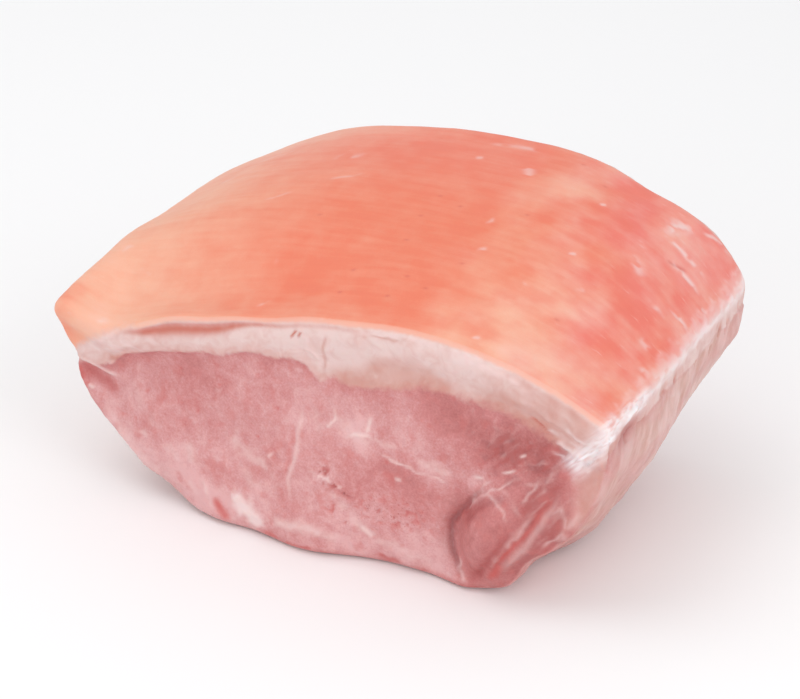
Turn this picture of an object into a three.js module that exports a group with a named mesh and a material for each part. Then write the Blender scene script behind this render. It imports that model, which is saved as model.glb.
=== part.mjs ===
// A boneless pork joint lying on its lean side with the rind uppermost, in millimetres.
// X runs along the joint, the knife-cut front faces -Y, the rind is up (+Z) and the board is z = 0.
// The joint is one piece of meat, so it is one closed body: rind, fat and lean grow into each other.
// Closed rings run from front to back round the block, and a grid closes each cut face.
import * as THREE from 'three';

// Overall sizes.
const LENGTH = 248;
const DEPTH = 140;
const CREST_HEIGHT = 130;

// Height of the rind's front edge at the top of its arch, and of the two ends of that edge.
const FRONT_ARCH_HEIGHT = 108.5;
const FRONT_LEFT_HEIGHT = 85;
const FRONT_RIGHT_HEIGHT = 87;

// Height of the two ends of the rind's back edge.
const BACK_LEFT_HEIGHT = 93;
const BACK_RIGHT_HEIGHT = 90;

// How far the rind rolls down over the fat at the left of the front cut, and over what depth.
const CURL_DROP = 14;
const CURL_DEPTH = 48;

// How far to the right of the middle the top of the arch lies, front and back.
const FRONT_CREST_SHIFT = 38;
const BACK_CREST_SHIFT = 16;

// How far the two back corners draw in from the full length.
const BACK_LEFT_TAPER = 15;
const BACK_RIGHT_TAPER = 0.5;

// How far in from the side edges the belly meets the board, at each cut,
// and how much fuller the right flank is between the cuts.
const LEFT_UNDERCUT_FRONT = 70;
const LEFT_UNDERCUT_BACK = 66;
const RIGHT_UNDERCUT_FRONT = 60;
const RIGHT_UNDERCUT_BACK = 80;
const RIGHT_MIDDLE_SWELL = 24;

// How much the belly lifts off the board at the back cut.
const BACK_LIFT = 12;

// Roundness of the rims: crisp at the rind, soft along the belly and at the back.
const RIND_RIM_RADIUS = 2.5;
const BELLY_RIM_RADIUS = 5;
const BACK_RIM_GROWTH = 2;
const LEFT_TIP_RADIUS = 8;
const RIGHT_TIP_RADIUS = 3;

// The fat band under the rind, and how far the lean shrinks back below it and swells out again.
const FAT_THICKNESS = 16;
const LEAN_STEP = 3;
const LEFT_LEAN_STEP = 3.5;
const LEAN_SWELL = 6;

// The small oval muscle at the lower right of the front cut, and the cleft on its left side.
const MUSCLE_WIDTH = 30;
const MUSCLE_HEIGHT = 42;
const MUSCLE_BULGE = 6;
const CLEFT_DEPTH = 5;

// Height of the slow lumps in the lean.
const LUMP_HEIGHT = 1.2;

// Steps round each stretch of the lower outline; the rind above takes as many as all of them.
const LEFT_STEPS = 18;
const BASE_STEPS = 14;
const RIGHT_STEPS = 14;
const TIP_STEPS = 2;
const CHAIN_STEPS = LEFT_STEPS + BASE_STEPS + RIGHT_STEPS + 2 * TIP_STEPS;

// Steps down each cut face, round each rim and along the block.
const FRONT_ROWS = 17;
const BACK_ROWS = 9;
const RIM_RINGS = 3;
const BODY_RINGS = 17;

const HALF_LENGTH = LENGTH / 2;
const HALF_DEPTH = DEPTH / 2;
const MUSCLE_CENTRE = { x: 0.315 * LENGTH, z: 0.24 * FRONT_ARCH_HEIGHT };

const mix = (a, b, t) => a + (b - a) * t;
const clamp01 = (v) => Math.min(1, Math.max(0, v));
const ease = (v) => {
  const t = clamp01(v);
  return t * t * (3 - 2 * t);
};
const bell = (d, width) => Math.exp(-((d / width) ** 2));

// The sizes of the section at depth t, which runs from 0 at the front cut to 1 at the back.
function sectionAt(t) {
  const rise = 1 - (1 - t) ** 2.2;
  const sideRise = ease(t / 0.45);
  const taper = t ** 4;
  const swell = 4 * RIGHT_MIDDLE_SWELL * t * (1 - t);
  return {
    leftX: -HALF_LENGTH + BACK_LEFT_TAPER * taper,
    rightX: HALF_LENGTH - BACK_RIGHT_TAPER * taper,
    leftZ: mix(FRONT_LEFT_HEIGHT, BACK_LEFT_HEIGHT, sideRise),
    rightZ: mix(FRONT_RIGHT_HEIGHT, BACK_RIGHT_HEIGHT, t),
    crestX: mix(FRONT_CREST_SHIFT, BACK_CREST_SHIFT, t),
    crestZ: mix(FRONT_ARCH_HEIGHT, CREST_HEIGHT, rise),
    leftPower: mix(1.28, 2.3, sideRise),
    rightPower: mix(2.2, 3.6, t),
    curl: CURL_DROP * (1 - ease(t * DEPTH / CURL_DEPTH)),
    leftUndercut: mix(LEFT_UNDERCUT_FRONT, LEFT_UNDERCUT_BACK, t),
    rightUndercut: mix(RIGHT_UNDERCUT_FRONT, RIGHT_UNDERCUT_BACK, t) - swell,
    lift: BACK_LIFT * ease((t - 0.66) / 0.34) ** 2,
  };
}

// Height of the rind over a point of the section.
function rindHeight(s, x) {
  const toLeft = clamp01((s.crestX - x) / (s.crestX - s.leftX));
  const toRight = clamp01((x - s.crestX) / (s.rightX - s.crestX));
  const leftDrop = (s.crestZ - s.leftZ) * toLeft ** s.leftPower;
  const rightDrop = (s.crestZ - s.rightZ) * toRight ** s.rightPower;
  const curlShape = ease(toLeft / 0.88) * (1 - 0.85 * ease((toLeft - 0.84) / 0.16));
  return s.crestZ - leftDrop - rightDrop - s.curl * curlShape;
}

// A point on the left (-1) or right (+1) flank; a is 0 at the rind edge and 1 on the board.
function flankPoint(s, side, a) {
  const angle = a * Math.PI / 2;
  const fullness = side < 0 ? 1.08 : 1.05;
  const tipX = side < 0 ? s.leftX : s.rightX;
  const undercut = side < 0 ? s.leftUndercut : s.rightUndercut;
  return {
    x: tipX - side * undercut * (1 - Math.cos(angle) ** fullness),
    z: mix(rindHeight(s, tipX), s.lift, Math.sin(angle) ** fullness),
  };
}

// A short curve from one point to another, rounding off the corner between them.
function cornerCurve(from, corner, to, steps) {
  const points = [];
  for (let i = 0; i <= steps; i += 1) {
    const t = i / steps;
    points.push({
      x: mix(mix(from.x, corner.x, t), mix(corner.x, to.x, t), t),
      z: mix(mix(from.z, corner.z, t), mix(corner.z, to.z, t), t),
    });
  }
  return points;
}

// The rounded tip of a section: its first half belongs to the rind, its second to the flank.
function tipCurve(s, side) {
  const radius = side < 0 ? LEFT_TIP_RADIUS : RIGHT_TIP_RADIUS;
  const tipX = side < 0 ? s.leftX : s.rightX;
  const rindX = tipX - side * radius;
  const tip = { x: tipX, z: rindHeight(s, tipX) };
  const share = radius / tip.z;
  const onRind = { x: rindX, z: rindHeight(s, rindX) };
  return { share, rindX, points: cornerCurve(onRind, tip, flankPoint(s, side, share), 2 * TIP_STEPS) };
}

// One closed outline, clockwise seen from the front, starting at the left tip of the rind.
function outlineAt(t) {
  const s = sectionAt(t);
  const left = tipCurve(s, -1);
  const right = tipCurve(s, 1);
  const points = left.points.slice(0, TIP_STEPS + 1).reverse();
  const archSteps = CHAIN_STEPS - 2 * TIP_STEPS;
  for (let i = 1; i < archSteps; i += 1) {
    const x = mix(left.rindX, right.rindX, i / archSteps);
    points.push({ x, z: rindHeight(s, x) });
  }
  points.push(...right.points);
  for (let i = 1; i <= RIGHT_STEPS; i += 1) {
    points.push(flankPoint(s, 1, mix(right.share, 1, i / RIGHT_STEPS)));
  }
  const baseRight = flankPoint(s, 1, 1).x;
  const baseLeft = flankPoint(s, -1, 1).x;
  for (let i = 1; i <= BASE_STEPS; i += 1) {
    points.push({ x: mix(baseRight, baseLeft, i / BASE_STEPS), z: s.lift });
  }
  for (let i = LEFT_STEPS - 1; i >= 0; i -= 1) {
    points.push(flankPoint(s, -1, mix(left.share, 1, i / LEFT_STEPS)));
  }
  points.push(...left.points.slice(TIP_STEPS + 1, 2 * TIP_STEPS).reverse());
  return points;
}

// How belly-like each point of an outline is: 0 along the rind, 1 on the board.
function softnessOf(outline) {
  const top = Math.max(...outline.map((p) => p.z));
  return outline.map((p, i) => (i <= CHAIN_STEPS ? 0 : ease(1 - p.z / (0.8 * top))));
}

// Unit vectors pointing out of an outline at each of its points.
function normalsOf(outline) {
  const count = outline.length;
  return outline.map((p, i) => {
    const before = outline[(i + count - 1) % count];
    const after = outline[(i + 1) % count];
    const dx = after.x - before.x;
    const dz = after.z - before.z;
    const size = Math.hypot(dx, dz);
    return { x: -dz / size, z: dx / size };
  });
}

// How far the front cut stands back from the plane of the rind's edge.
const frontSection = sectionAt(0);
function frontRelief(x, z) {
  const under = rindHeight(frontSection, x) - z;
  const leftShare = ease((-x - 0.12 * LENGTH) / (0.34 * LENGTH));
  const fat = FAT_THICKNESS * (1 - 0.35 * leftShare);
  const belowFat = ease((under - fat + 4) / 8);
  const step = (LEAN_STEP + LEFT_LEAN_STEP * leftShare) * belowFat;
  const swell = LEAN_SWELL * belowFat * bell(under / FRONT_ARCH_HEIGHT - 0.66, 0.3);
  const acrossMuscle = (x - MUSCLE_CENTRE.x) / (MUSCLE_WIDTH / 2);
  const upMuscle = (z - MUSCLE_CENTRE.z) / (MUSCLE_HEIGHT / 2);
  const away = Math.hypot(acrossMuscle, upMuscle);
  const muscle = MUSCLE_BULGE * bell(away, 0.85);
  const onLeft = ease(0.5 - 0.8 * acrossMuscle);
  const cleft = CLEFT_DEPTH * bell(away - 1.2, 0.34) * onLeft;
  const lumps = LUMP_HEIGHT * belowFat * Math.sin(x / 13 + 1) * Math.cos(z / 11);
  return step - swell - muscle + cleft + lumps;
}

// How far the back cut stands back: it falls away towards its ends.
function backRelief(x, z) {
  const toEnds = (x / HALF_LENGTH) ** 2;
  return 4 * toEnds + LUMP_HEIGHT * Math.sin(x / 17) * Math.cos(z / 14 + 1);
}

// The front (-1) or back (+1) end of the block: its outline, rim radii and setbacks.
function blockEnd(end) {
  const outline = outlineAt(end < 0 ? 0 : 1);
  const relief = end < 0 ? frontRelief : backRelief;
  const growth = end < 0 ? 1 : BACK_RIM_GROWTH;
  const soft = softnessOf(outline);
  return {
    end,
    outline,
    relief,
    normals: normalsOf(outline),
    radii: soft.map((v) => growth * mix(RIND_RIM_RADIUS, BELLY_RIM_RADIUS, v)),
    setbacks: outline.map((p) => relief(p.x, p.z)),
  };
}

// One ring of a rounded rim; a is 0 where it meets the length of the block and 1 at the face.
function rimRing(cut, a) {
  const angle = a * Math.PI / 2;
  return cut.outline.map((p, i) => {
    const inset = cut.radii[i] * (1 - Math.cos(angle));
    const back = cut.setbacks[i] + cut.radii[i] * (1 - Math.sin(angle));
    return {
      x: p.x - cut.normals[i].x * inset,
      y: cut.end * (HALF_DEPTH - back),
      z: Math.max(p.z - cut.normals[i].z * inset, 0),
    };
  });
}

// Slow lumps along the flanks, fading out on the rind and on the flat that rests on the board.
function withLumps(point, normal, soft) {
  const wave = Math.sin(point.y / 16 + point.z / 23) + Math.sin(point.y / 9 - point.x / 31);
  const amount = 0.5 * LUMP_HEIGHT * wave * bell(soft - 0.5, 0.36) * ease((point.z - 3) / 12);
  return { x: point.x + normal.x * amount, y: point.y, z: point.z + normal.z * amount };
}

// One ring round the length of the block, at a share of the way from the front rim to the back.
function bodyRing(front, back, along) {
  const outline = outlineAt(along);
  const soft = softnessOf(outline);
  const normals = normalsOf(outline);
  const fade = ease(along / 0.1) * ease((1 - along) / 0.1);
  return outline.map((p, i) => {
    const start = -HALF_DEPTH + front.setbacks[i] + front.radii[i];
    const stop = HALF_DEPTH - back.setbacks[i] - back.radii[i];
    const lumpy = withLumps({ x: p.x, y: mix(start, stop, along), z: p.z }, normals[i], soft[i]);
    return { x: mix(p.x, lumpy.x, fade), y: lumpy.y, z: mix(p.z, lumpy.z, fade) };
  });
}

// Share of the way down a cut face of a row of its grid, closer together near the rind.
function rowShare(row, rows) {
  return (row / rows) ** 1.25;
}

// Collects points and triangles, then becomes the closed skin.
class Skin {
  constructor() {
    this.positions = [];
    this.faces = [];
  }

  addPoint(p) {
    this.positions.push(p.x, p.y, p.z);
    return this.positions.length / 3 - 1;
  }

  addRing(ring) {
    return ring.map((p) => this.addPoint(p));
  }

  joinRings(a, b) {
    for (let i = 0; i < a.length; i += 1) {
      const next = (i + 1) % a.length;
      this.faces.push(a[i], a[next], b[i], a[next], b[next], b[i]);
    }
  }

  // Closes a cut with a grid whose columns drop from the rind to the belly.
  closeFace(cut, rim, ids, rows) {
    const columns = [];
    for (let i = 0; i <= CHAIN_STEPS; i += 1) {
      const low = (rim.length - i) % rim.length;
      const atTip = i === 0 || i === CHAIN_STEPS;
      const column = [ids[i]];
      for (let j = 1; j < rows; j += 1) {
        const share = rowShare(j, rows);
        const x = mix(rim[i].x, rim[low].x, share);
        const z = mix(rim[i].z, rim[low].z, share);
        const y = cut.end * (HALF_DEPTH - cut.relief(x, z));
        column.push(atTip ? ids[i] : this.addPoint({ x, y, z }));
      }
      column.push(ids[low]);
      columns.push(column);
    }
    for (let i = 0; i < CHAIN_STEPS; i += 1) {
      for (let j = 0; j < rows; j += 1) {
        const [a, b] = [columns[i][j], columns[i + 1][j]];
        const [d, c] = [columns[i][j + 1], columns[i + 1][j + 1]];
        this.addFace(cut.end, a, d, c);
        this.addFace(cut.end, a, c, b);
      }
    }
  }

  addFace(end, a, b, c) {
    if (a === b || b === c || c === a) return;
    this.faces.push(...(end < 0 ? [a, b, c] : [a, c, b]));
  }

  toGeometry() {
    const geometry = new THREE.BufferGeometry();
    geometry.setAttribute('position', new THREE.Float32BufferAttribute(this.positions, 3));
    geometry.setIndex(this.faces);
    return geometry;
  }
}

function buildJoint() {
  const front = blockEnd(-1);
  const back = blockEnd(1);
  const rings = [];
  for (let i = RIM_RINGS; i > 0; i -= 1) rings.push(rimRing(front, i / RIM_RINGS));
  for (let j = 0; j <= BODY_RINGS; j += 1) rings.push(bodyRing(front, back, j / BODY_RINGS));
  for (let i = 1; i <= RIM_RINGS; i += 1) rings.push(rimRing(back, i / RIM_RINGS));
  const skin = new Skin();
  const ids = rings.map((ring) => skin.addRing(ring));
  for (let j = 1; j < ids.length; j += 1) skin.joinRings(ids[j - 1], ids[j]);
  skin.closeFace(front, rings[0], ids[0], FRONT_ROWS);
  skin.closeFace(back, rings[rings.length - 1], ids[ids.length - 1], BACK_ROWS);
  return skin.toGeometry();
}

const geometry = buildJoint();
geometry.computeBoundingBox();
const { min, max } = geometry.boundingBox;
geometry.translate(-(min.x + max.x) / 2, -(min.y + max.y) / 2, -min.z);
geometry.computeVertexNormals();

const flesh = new THREE.MeshStandardMaterial({ color: 0xe79c85, roughness: 0.45, metalness: 0 });
const joint = new THREE.Mesh(geometry, flesh);
joint.name = 'pork_joint';

const group = new THREE.Group();
group.name = 'pork_roasting_joint';
group.add(joint);

export default group;
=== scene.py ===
# %% [markdown]
# # A raw pork joint, rind uppermost
# This lesson dresses a plain solid as a boneless pork joint: a sheet of soft rind over a band of fat over
# cut lean. The solid gives the size and the place. Everything here is in metres, but flesh is easier to
# think about in millimetres, so shapes are worked out in millimetres and turned back at the end.

# %% Load the solid
import math

import bmesh
import bpy
import numpy as np
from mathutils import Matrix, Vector


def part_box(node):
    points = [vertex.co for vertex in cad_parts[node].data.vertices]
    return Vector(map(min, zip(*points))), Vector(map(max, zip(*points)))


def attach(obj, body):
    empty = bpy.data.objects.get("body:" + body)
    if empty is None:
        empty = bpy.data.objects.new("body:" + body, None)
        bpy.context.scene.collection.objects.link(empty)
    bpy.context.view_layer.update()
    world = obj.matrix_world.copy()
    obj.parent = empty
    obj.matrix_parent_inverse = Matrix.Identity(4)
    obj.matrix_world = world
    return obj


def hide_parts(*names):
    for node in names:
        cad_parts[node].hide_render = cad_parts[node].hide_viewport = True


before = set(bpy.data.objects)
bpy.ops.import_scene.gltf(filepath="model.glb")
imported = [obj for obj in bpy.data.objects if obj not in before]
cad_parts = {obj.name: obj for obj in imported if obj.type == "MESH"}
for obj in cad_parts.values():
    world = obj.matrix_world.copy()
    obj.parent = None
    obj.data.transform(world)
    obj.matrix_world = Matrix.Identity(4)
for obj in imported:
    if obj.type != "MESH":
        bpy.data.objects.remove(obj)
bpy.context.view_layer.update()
low, high = (np.array(corner) * 1000 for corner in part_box("pork_joint"))
print("the solid runs from", low.round(1), "to", high.round(1), "mm")

# %% [markdown]
# ## The camera
# The joint is seen from its front right corner, a little above. A long lens a good way off keeps the two
# ends of the joint the same size. The camera looks at a point inside the joint, so it is found from the
# solid's box.

# %% Camera
CAMERA_AZIMUTH = math.radians(28)
CAMERA_ELEVATION = math.radians(28)
CAMERA_DISTANCE = 1.3
LENS_MM = 143.2

centre = (low + high) / 2000
aim = Vector((centre[0], centre[1], low[2] / 1000 + 0.457 * (high[2] - low[2]) / 1000))
level = math.cos(CAMERA_ELEVATION)
towards_camera = Vector((
    math.sin(CAMERA_AZIMUTH) * level,
    -math.cos(CAMERA_AZIMUTH) * level,
    math.sin(CAMERA_ELEVATION),
))
camera_data = bpy.data.cameras.new("camera")
camera_data.lens = LENS_MM
camera_data.sensor_width = 36
camera = bpy.data.objects.new("camera", camera_data)
camera.location = aim + towards_camera * CAMERA_DISTANCE
camera.rotation_euler = (-towards_camera).to_track_quat("-Z", "Y").to_euler()
bpy.context.scene.collection.objects.link(camera)
bpy.context.scene.camera = camera
print("camera stands at", [round(v, 3) for v in camera.location])

# %% [markdown]
# ## A fine skin
# The solid is made of flat facets several millimetres across. Meat has no facets, so the skin starts as a
# copy of the solid that is subdivided, to round the facets off, and then remeshed into even squares under
# a millimetre across. Even squares take sculpted detail equally well everywhere, which a skin stretched
# between rings would not.

# %% Make the fine skin
SQUARE_MM = 0.75
SMOOTH_PASSES = 8


def fine_skin(node, name):
    """A smooth, evenly meshed copy of a solid."""
    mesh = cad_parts[node].data.copy()
    mesh.materials.clear()
    joined = bmesh.new()
    joined.from_mesh(mesh)
    bmesh.ops.remove_doubles(joined, verts=joined.verts, dist=1e-6)
    joined.to_mesh(mesh)
    joined.free()
    rough = bpy.data.objects.new(name + "_rough", mesh)
    bpy.context.scene.collection.objects.link(rough)
    rough.modifiers.new("round", "SUBSURF").levels = 2
    squares = rough.modifiers.new("squares", "REMESH")
    squares.mode = "VOXEL"
    squares.voxel_size = SQUARE_MM / 1000
    soften = rough.modifiers.new("soften", "SMOOTH")
    soften.factor = 0.5
    soften.iterations = SMOOTH_PASSES
    seen = rough.evaluated_get(bpy.context.evaluated_depsgraph_get())
    skin = bpy.data.meshes.new_from_object(seen)
    skin.name = name
    bpy.data.objects.remove(rough)
    piece = bpy.data.objects.new(name, skin)
    bpy.context.scene.collection.objects.link(piece)
    return piece


joint = fine_skin("pork_joint", "rind_fat_and_lean")
count = len(joint.data.vertices)
points = np.empty(count * 3)
joint.data.vertices.foreach_get("co", points)
points = points.reshape(-1, 3) * 1000
normals = np.empty(count * 3)
joint.data.vertex_normals.foreach_get("vector", normals)
normals = normals.reshape(-1, 3)
x, y, z = points.T
print("the skin has", count, "points")

# %% [markdown]
# ## Where each tissue lies
# Rind, fat and lean are layers that follow the top of the joint, so the depth of a point below the rind
# says what tissue it is in. The height of the rind is a gentle arch across the joint that grows taller
# towards the back, and it curls down at the front left. Where a size has two values, the first holds at the
# front edge and the second at the back. `soft` is the usual smooth step from 0 to 1.

# %% Depth below the rind
FRONT_EDGE_Y = low[1] + 13.3
BACK_EDGE_Y = high[1] - 1.0
HALF_LENGTH = (high[0] - low[0]) / 2
CREST_X = (38, 16)
CREST_Z = (108.5, high[2] - low[2])
LEFT_CORNER_Z = (85, 93)
RIGHT_CORNER_Z = (87, 90)
LEFT_FALL = (1.28, 2.3)
RIGHT_FALL = (2.2, 3.6)
LEFT_END_SKEW = 15
CURL_DROP = 14
CURL_REACH = 48 / 140


def soft(start, stop, value):
    t = np.clip((value - start) / (stop - start), 0, 1)
    return t * t * (3 - 2 * t)


def blend(a, b, t):
    return a + (b - a) * t


def bell(distance, width):
    return np.exp(-((distance / width) ** 2))


def rind_height(x, along):
    """Height of the rind over the board, for a place across the joint and a share of its depth."""
    rise = 1 - (1 - along) ** 2.2
    side_rise = soft(0, 0.45, along)
    left_x = -HALF_LENGTH + LEFT_END_SKEW * along**4
    crest_x = blend(*CREST_X, along)
    crest_z = blend(*CREST_Z, rise)
    to_left = np.clip((crest_x - x) / (crest_x - left_x), 0, 1)
    to_right = np.clip((x - crest_x) / (HALF_LENGTH - crest_x), 0, 1)
    left_drop = (crest_z - blend(*LEFT_CORNER_Z, side_rise)) * to_left ** blend(*LEFT_FALL, side_rise)
    right_drop = (crest_z - blend(*RIGHT_CORNER_Z, along)) * to_right ** blend(*RIGHT_FALL, along)
    curl = CURL_DROP * (1 - soft(0, CURL_REACH, along))
    curl_shape = soft(0, 0.88, to_left) * (1 - 0.85 * soft(0.84, 1, to_left))
    return crest_z - left_drop - right_drop - curl * curl_shape


along = np.clip((y - FRONT_EDGE_Y) / (BACK_EDGE_Y - FRONT_EDGE_Y), 0, 1)
below_rind = rind_height(x, along) - z
on_top = (normals[:, 2] > 0.2) & (below_rind < 6)
print("depth below the rind on top of the joint:", np.percentile(below_rind[on_top], [2, 50, 98]).round(2))

# %% [markdown]
# ## Settling
# A boned joint has nothing stiff in it, so it slumps on the board: the foot of the front spreads forward,
# the lower right corner tucks in, the far shoulders sink and the left tip droops outward. Each of these is
# a few soft pushes, strongest at a place and fading over a reach in each direction.

# %% Let the joint settle
# Each push is a place, a reach and a distance, in mm.
SETTLING = [
    ((-122, -64, 72), (14, 16, 14), (-3.4, 0, 0)),
    ((-122, -42, 86), (16, 12, 14), (0, 0, 1.5)),
    ((-118, 8, 96), (26, 30, 30), (0, 0, -3.6)),
    ((79, 74, 124), (16, 40, 20), (0, 0, -3.4)),
    ((113, 70, 102), (14, 20, 14), (0.6, 0, 1)),
    ((122, 66, 64), (14, 24, 16), (2.5, 0, 0)),
    ((-108, -62, 36), (16, 20, 14), (-2.2, 0, 0)),
    ((-76, -66, 6), (16, 20, 12), (0, 2.5, 2.5)),
    ((-8, -66, 0), (26, 22, 22), (0, -11, 0)),
    ((-30, -66, 0), (24, 22, 14), (0, 4.5, 0)),
    ((-46, -66, 0), (18, 22, 14), (0, -4, 0)),
    ((70, -66, 0), (14, 24, 12), (0, -7, 0)),
    ((102, -62, 16), (14, 20, 16), (-7, 0, 2)),
    ((96, -42, 6), (12, 14, 10), (-6, 0, 3)),
    ((108, -10, 26), (14, 36, 26), (-4, 0, 0)),
    ((112, 30, 34), (14, 22, 20), (-2.5, 0, 0)),
    ((115, 48, 52), (12, 16, 14), (-1.6, 0, 0)),
    ((-68, -66, 82), (20, 14, 12), (0, 0, 5)),
    ((-38, -66, 89), (18, 14, 12), (0, 0, 3.5)),
    ((-8, -66, 98), (18, 14, 12), (0, 0, 2)),
    ((-122, -54, 82), (10, 12, 6), (-1.2, 0, 1.4)),
    ((-119, -60, 56), (8, 10, 4), (2.4, 0, 0)),
    ((-115, -59, 45), (10, 12, 6), (-1.8, 0, 0)),
    ((-110, -60, 36), (10, 14, 5), (-1.2, 0, 0)),
    ((-94, -63, 20), (14, 14, 8), (2.4, 0, 0.6)),
]
settled = points.copy()
for place, reach, push in SETTLING:
    nearness = np.exp(-(((points - place) / reach) ** 2).sum(axis=1))
    settled += nearness[:, None] * push
print(len(SETTLING), "pushes settle it by up to", round(float(np.abs(settled - points).max()), 1), "mm")

# %% [markdown]
# ## Ironing
# The pushes leave a crease behind the left tip. Ironing takes it out: every point near that place moves
# towards the middle of its neighbours, over and over. The directions in which the skin faces are averaged
# among neighbours too, so that relief raised along them later doesn't bunch up in the hollows.

# %% Iron the left tip
IRON_STRENGTH = 0.8
FACING_PASSES = 8
edges = np.empty(len(joint.data.edges) * 2, int)
joint.data.edges.foreach_get("vertices", edges)
starts, stops = edges.reshape(-1, 2).T
neighbours = np.bincount(edges, minlength=count)


def neighbour_mean(values):
    """Each point's mean of a vector over the points joined to it."""
    total = [np.bincount(starts, v[stops], count) + np.bincount(stops, v[starts], count) for v in values.T]
    return np.stack(total, axis=1) / neighbours[:, None]


def iron(place, reach, passes):
    """Flattens a crease by moving points near a place towards the middle of their neighbours."""
    share = np.exp(-(((points - place) / reach) ** 2).sum(axis=1))
    for _ in range(passes):
        settled[:] += share[:, None] * IRON_STRENGTH * (neighbour_mean(settled) - settled)


iron(place=(-104, -62, 77), reach=(15, 12, 12), passes=90)
settled[:, 2] = np.maximum(settled[:, 2], low[2])
points = settled
x, y, z = points.T
joint.data.vertices.foreach_set("co", (points / 1000).ravel())
joint.data.update()
joint.data.vertex_normals.foreach_get("vector", normals.ravel())
for _ in range(FACING_PASSES):
    normals = neighbour_mean(normals)
normals /= np.linalg.norm(normals, axis=1)[:, None]
print("after ironing the joint is", np.ptp(points, axis=0).round(1), "mm")

# %% [markdown]
# ## The two cut faces and the outer sides
# The knife has cut the front and the back, so those two faces show lean. The two ends and the underside
# are the outside of the muscle, under a thin pale membrane. The way a point of the skin faces tells which
# of them it lies on. Only at the drooping left tip does the rind wrap round onto the front, down to a line
# whose height is given at a few places across the joint.

# %% Faces
RIND_THICKNESS = 2.3
TIP_RIND_FLOOR = {-126: 55, -118: 59, -113: 64, -102: 71, -92: 76, -82: 80}


def line_height(heights, across):
    """Height of a line along the joint, from its heights at a few places across."""
    return np.interp(across, list(heights), list(heights.values()))


front = soft(0.3, 0.75, -normals[:, 1])
back = soft(0.3, 0.75, normals[:, 1])
cut = front + back
on_tip = soft(-80, -90, x) * soft(-30, -52, y)
below_tip_rind = line_height(TIP_RIND_FLOOR, x) - z + RIND_THICKNESS
below_rind = blend(below_rind, below_tip_rind, on_tip * soft(-3, 1, below_rind))
flesh_side = soft(2.5, 4.5, below_rind) * (1 - cut)
right = soft(0.2, 0.7, normals[:, 0]) * flesh_side
left = soft(0.2, 0.7, -normals[:, 0]) * flesh_side
under = soft(0.3, 0.8, -normals[:, 2]) * (1 - cut)
print("share of the skin that is front cut:", round(float(front.mean()), 3))

# %% [markdown]
# ## Random lumps
# Nothing in meat repeats, so most of its detail is random at several sizes. `lumps` gives smooth random
# numbers from -1 to 1 whose bumps are a chosen number of millimetres across. The numbers come from a seeded
# table, so the joint is the same each time. Giving three sizes stretches the bumps, which makes fibres.

# %% Random lumps
TABLE = 32
LUMP_GAIN = 1.6


def lumps(size, seed, octaves=1, at=None):
    """Smooth random values at every point, with bumps `size` mm across."""
    where = points if at is None else at
    total = np.zeros(count)
    reach = 0.0
    for octave in range(octaves):
        rng = np.random.default_rng(seed * 10 + octave)
        table = rng.uniform(-1, 1, (TABLE, TABLE, TABLE))
        place = where / (np.array(size) / 2**octave) + rng.uniform(0, TABLE, 3)
        cell = np.floor(place).astype(int)
        part = place - cell
        part = part * part * (3 - 2 * part)
        value = np.zeros(count)
        for corner in np.ndindex(2, 2, 2):
            weight = np.prod(np.where(corner, part, 1 - part), axis=1)
            i, j, k = ((cell + corner) % TABLE).T
            value += weight * table[i, j, k]
        total += value / 2**octave
        reach += 1 / 2**octave
    return total / reach * LUMP_GAIN


print("lumps come from tables", TABLE, "numbers wide, deep and high")

# %% [markdown]
# ## Drawn lines
# Seams, threads and scrapes are drawn as paths of a few places each. What matters is how far every point of
# the skin is from a path. The places are shaken a little by the lumps first, so that no line is quite
# straight, and `slanted` turns the axes by 45 degrees for fibres that run up to the right.

# %% Lines
def line_distance(path, *place):
    """Distance in mm of every place from a path, and the share of the path's length it is nearest to."""
    place = np.stack(place, axis=1)
    path = np.array(path, float)
    best = np.full(len(place), 1e9)
    share = np.zeros(len(place))
    legs = np.linalg.norm(np.diff(path, axis=0), axis=1)
    gone = 0.0
    for start, stop, leg in zip(path, path[1:], legs):
        t = np.clip((place - start) @ (stop - start) / leg**2, 0, 1)
        distance = np.linalg.norm(place - start - t[:, None] * (stop - start), axis=1)
        closer = distance < best
        best = np.where(closer, distance, best)
        share = np.where(closer, (gone + t * leg) / legs.sum(), share)
        gone += leg
    return best, share


def stroke(path, width, taper, *place):
    """1 along a drawn line, fading over `width` mm and towards the line's two ends."""
    distance, share = line_distance(path, *place)
    ends = soft(0, taper, share) * soft(0, taper, 1 - share) if taper else 1
    return bell(distance, width) * ends


wobble_u = lumps(9, 1, 2)
wobble_v = lumps(9, 2, 2)
front_x = x + 1.0 * wobble_u + 0.5 * lumps(2.5, 6)
front_z = z + 1.0 * wobble_v + 0.5 * lumps(2.5, 7)
broken = 0.3 + 0.7 * soft(-0.6, 0.4, lumps(4, 8, 2))
slanted = np.stack([(x + z) * 0.7, y, (x - z) * 0.7], axis=1)
print("lines waver by", wobble_u.min().round(2), "to", wobble_u.max().round(2), "mm")

# %% [markdown]
# ## The fat band
# On the front cut the fat is thin at the left tip, thickest past the middle, and its lower edge is
# scalloped where small wedges of fat run down between the muscles. The height of that edge is given at a
# few places along the joint. Elsewhere the band has a plain thickness.

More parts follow.
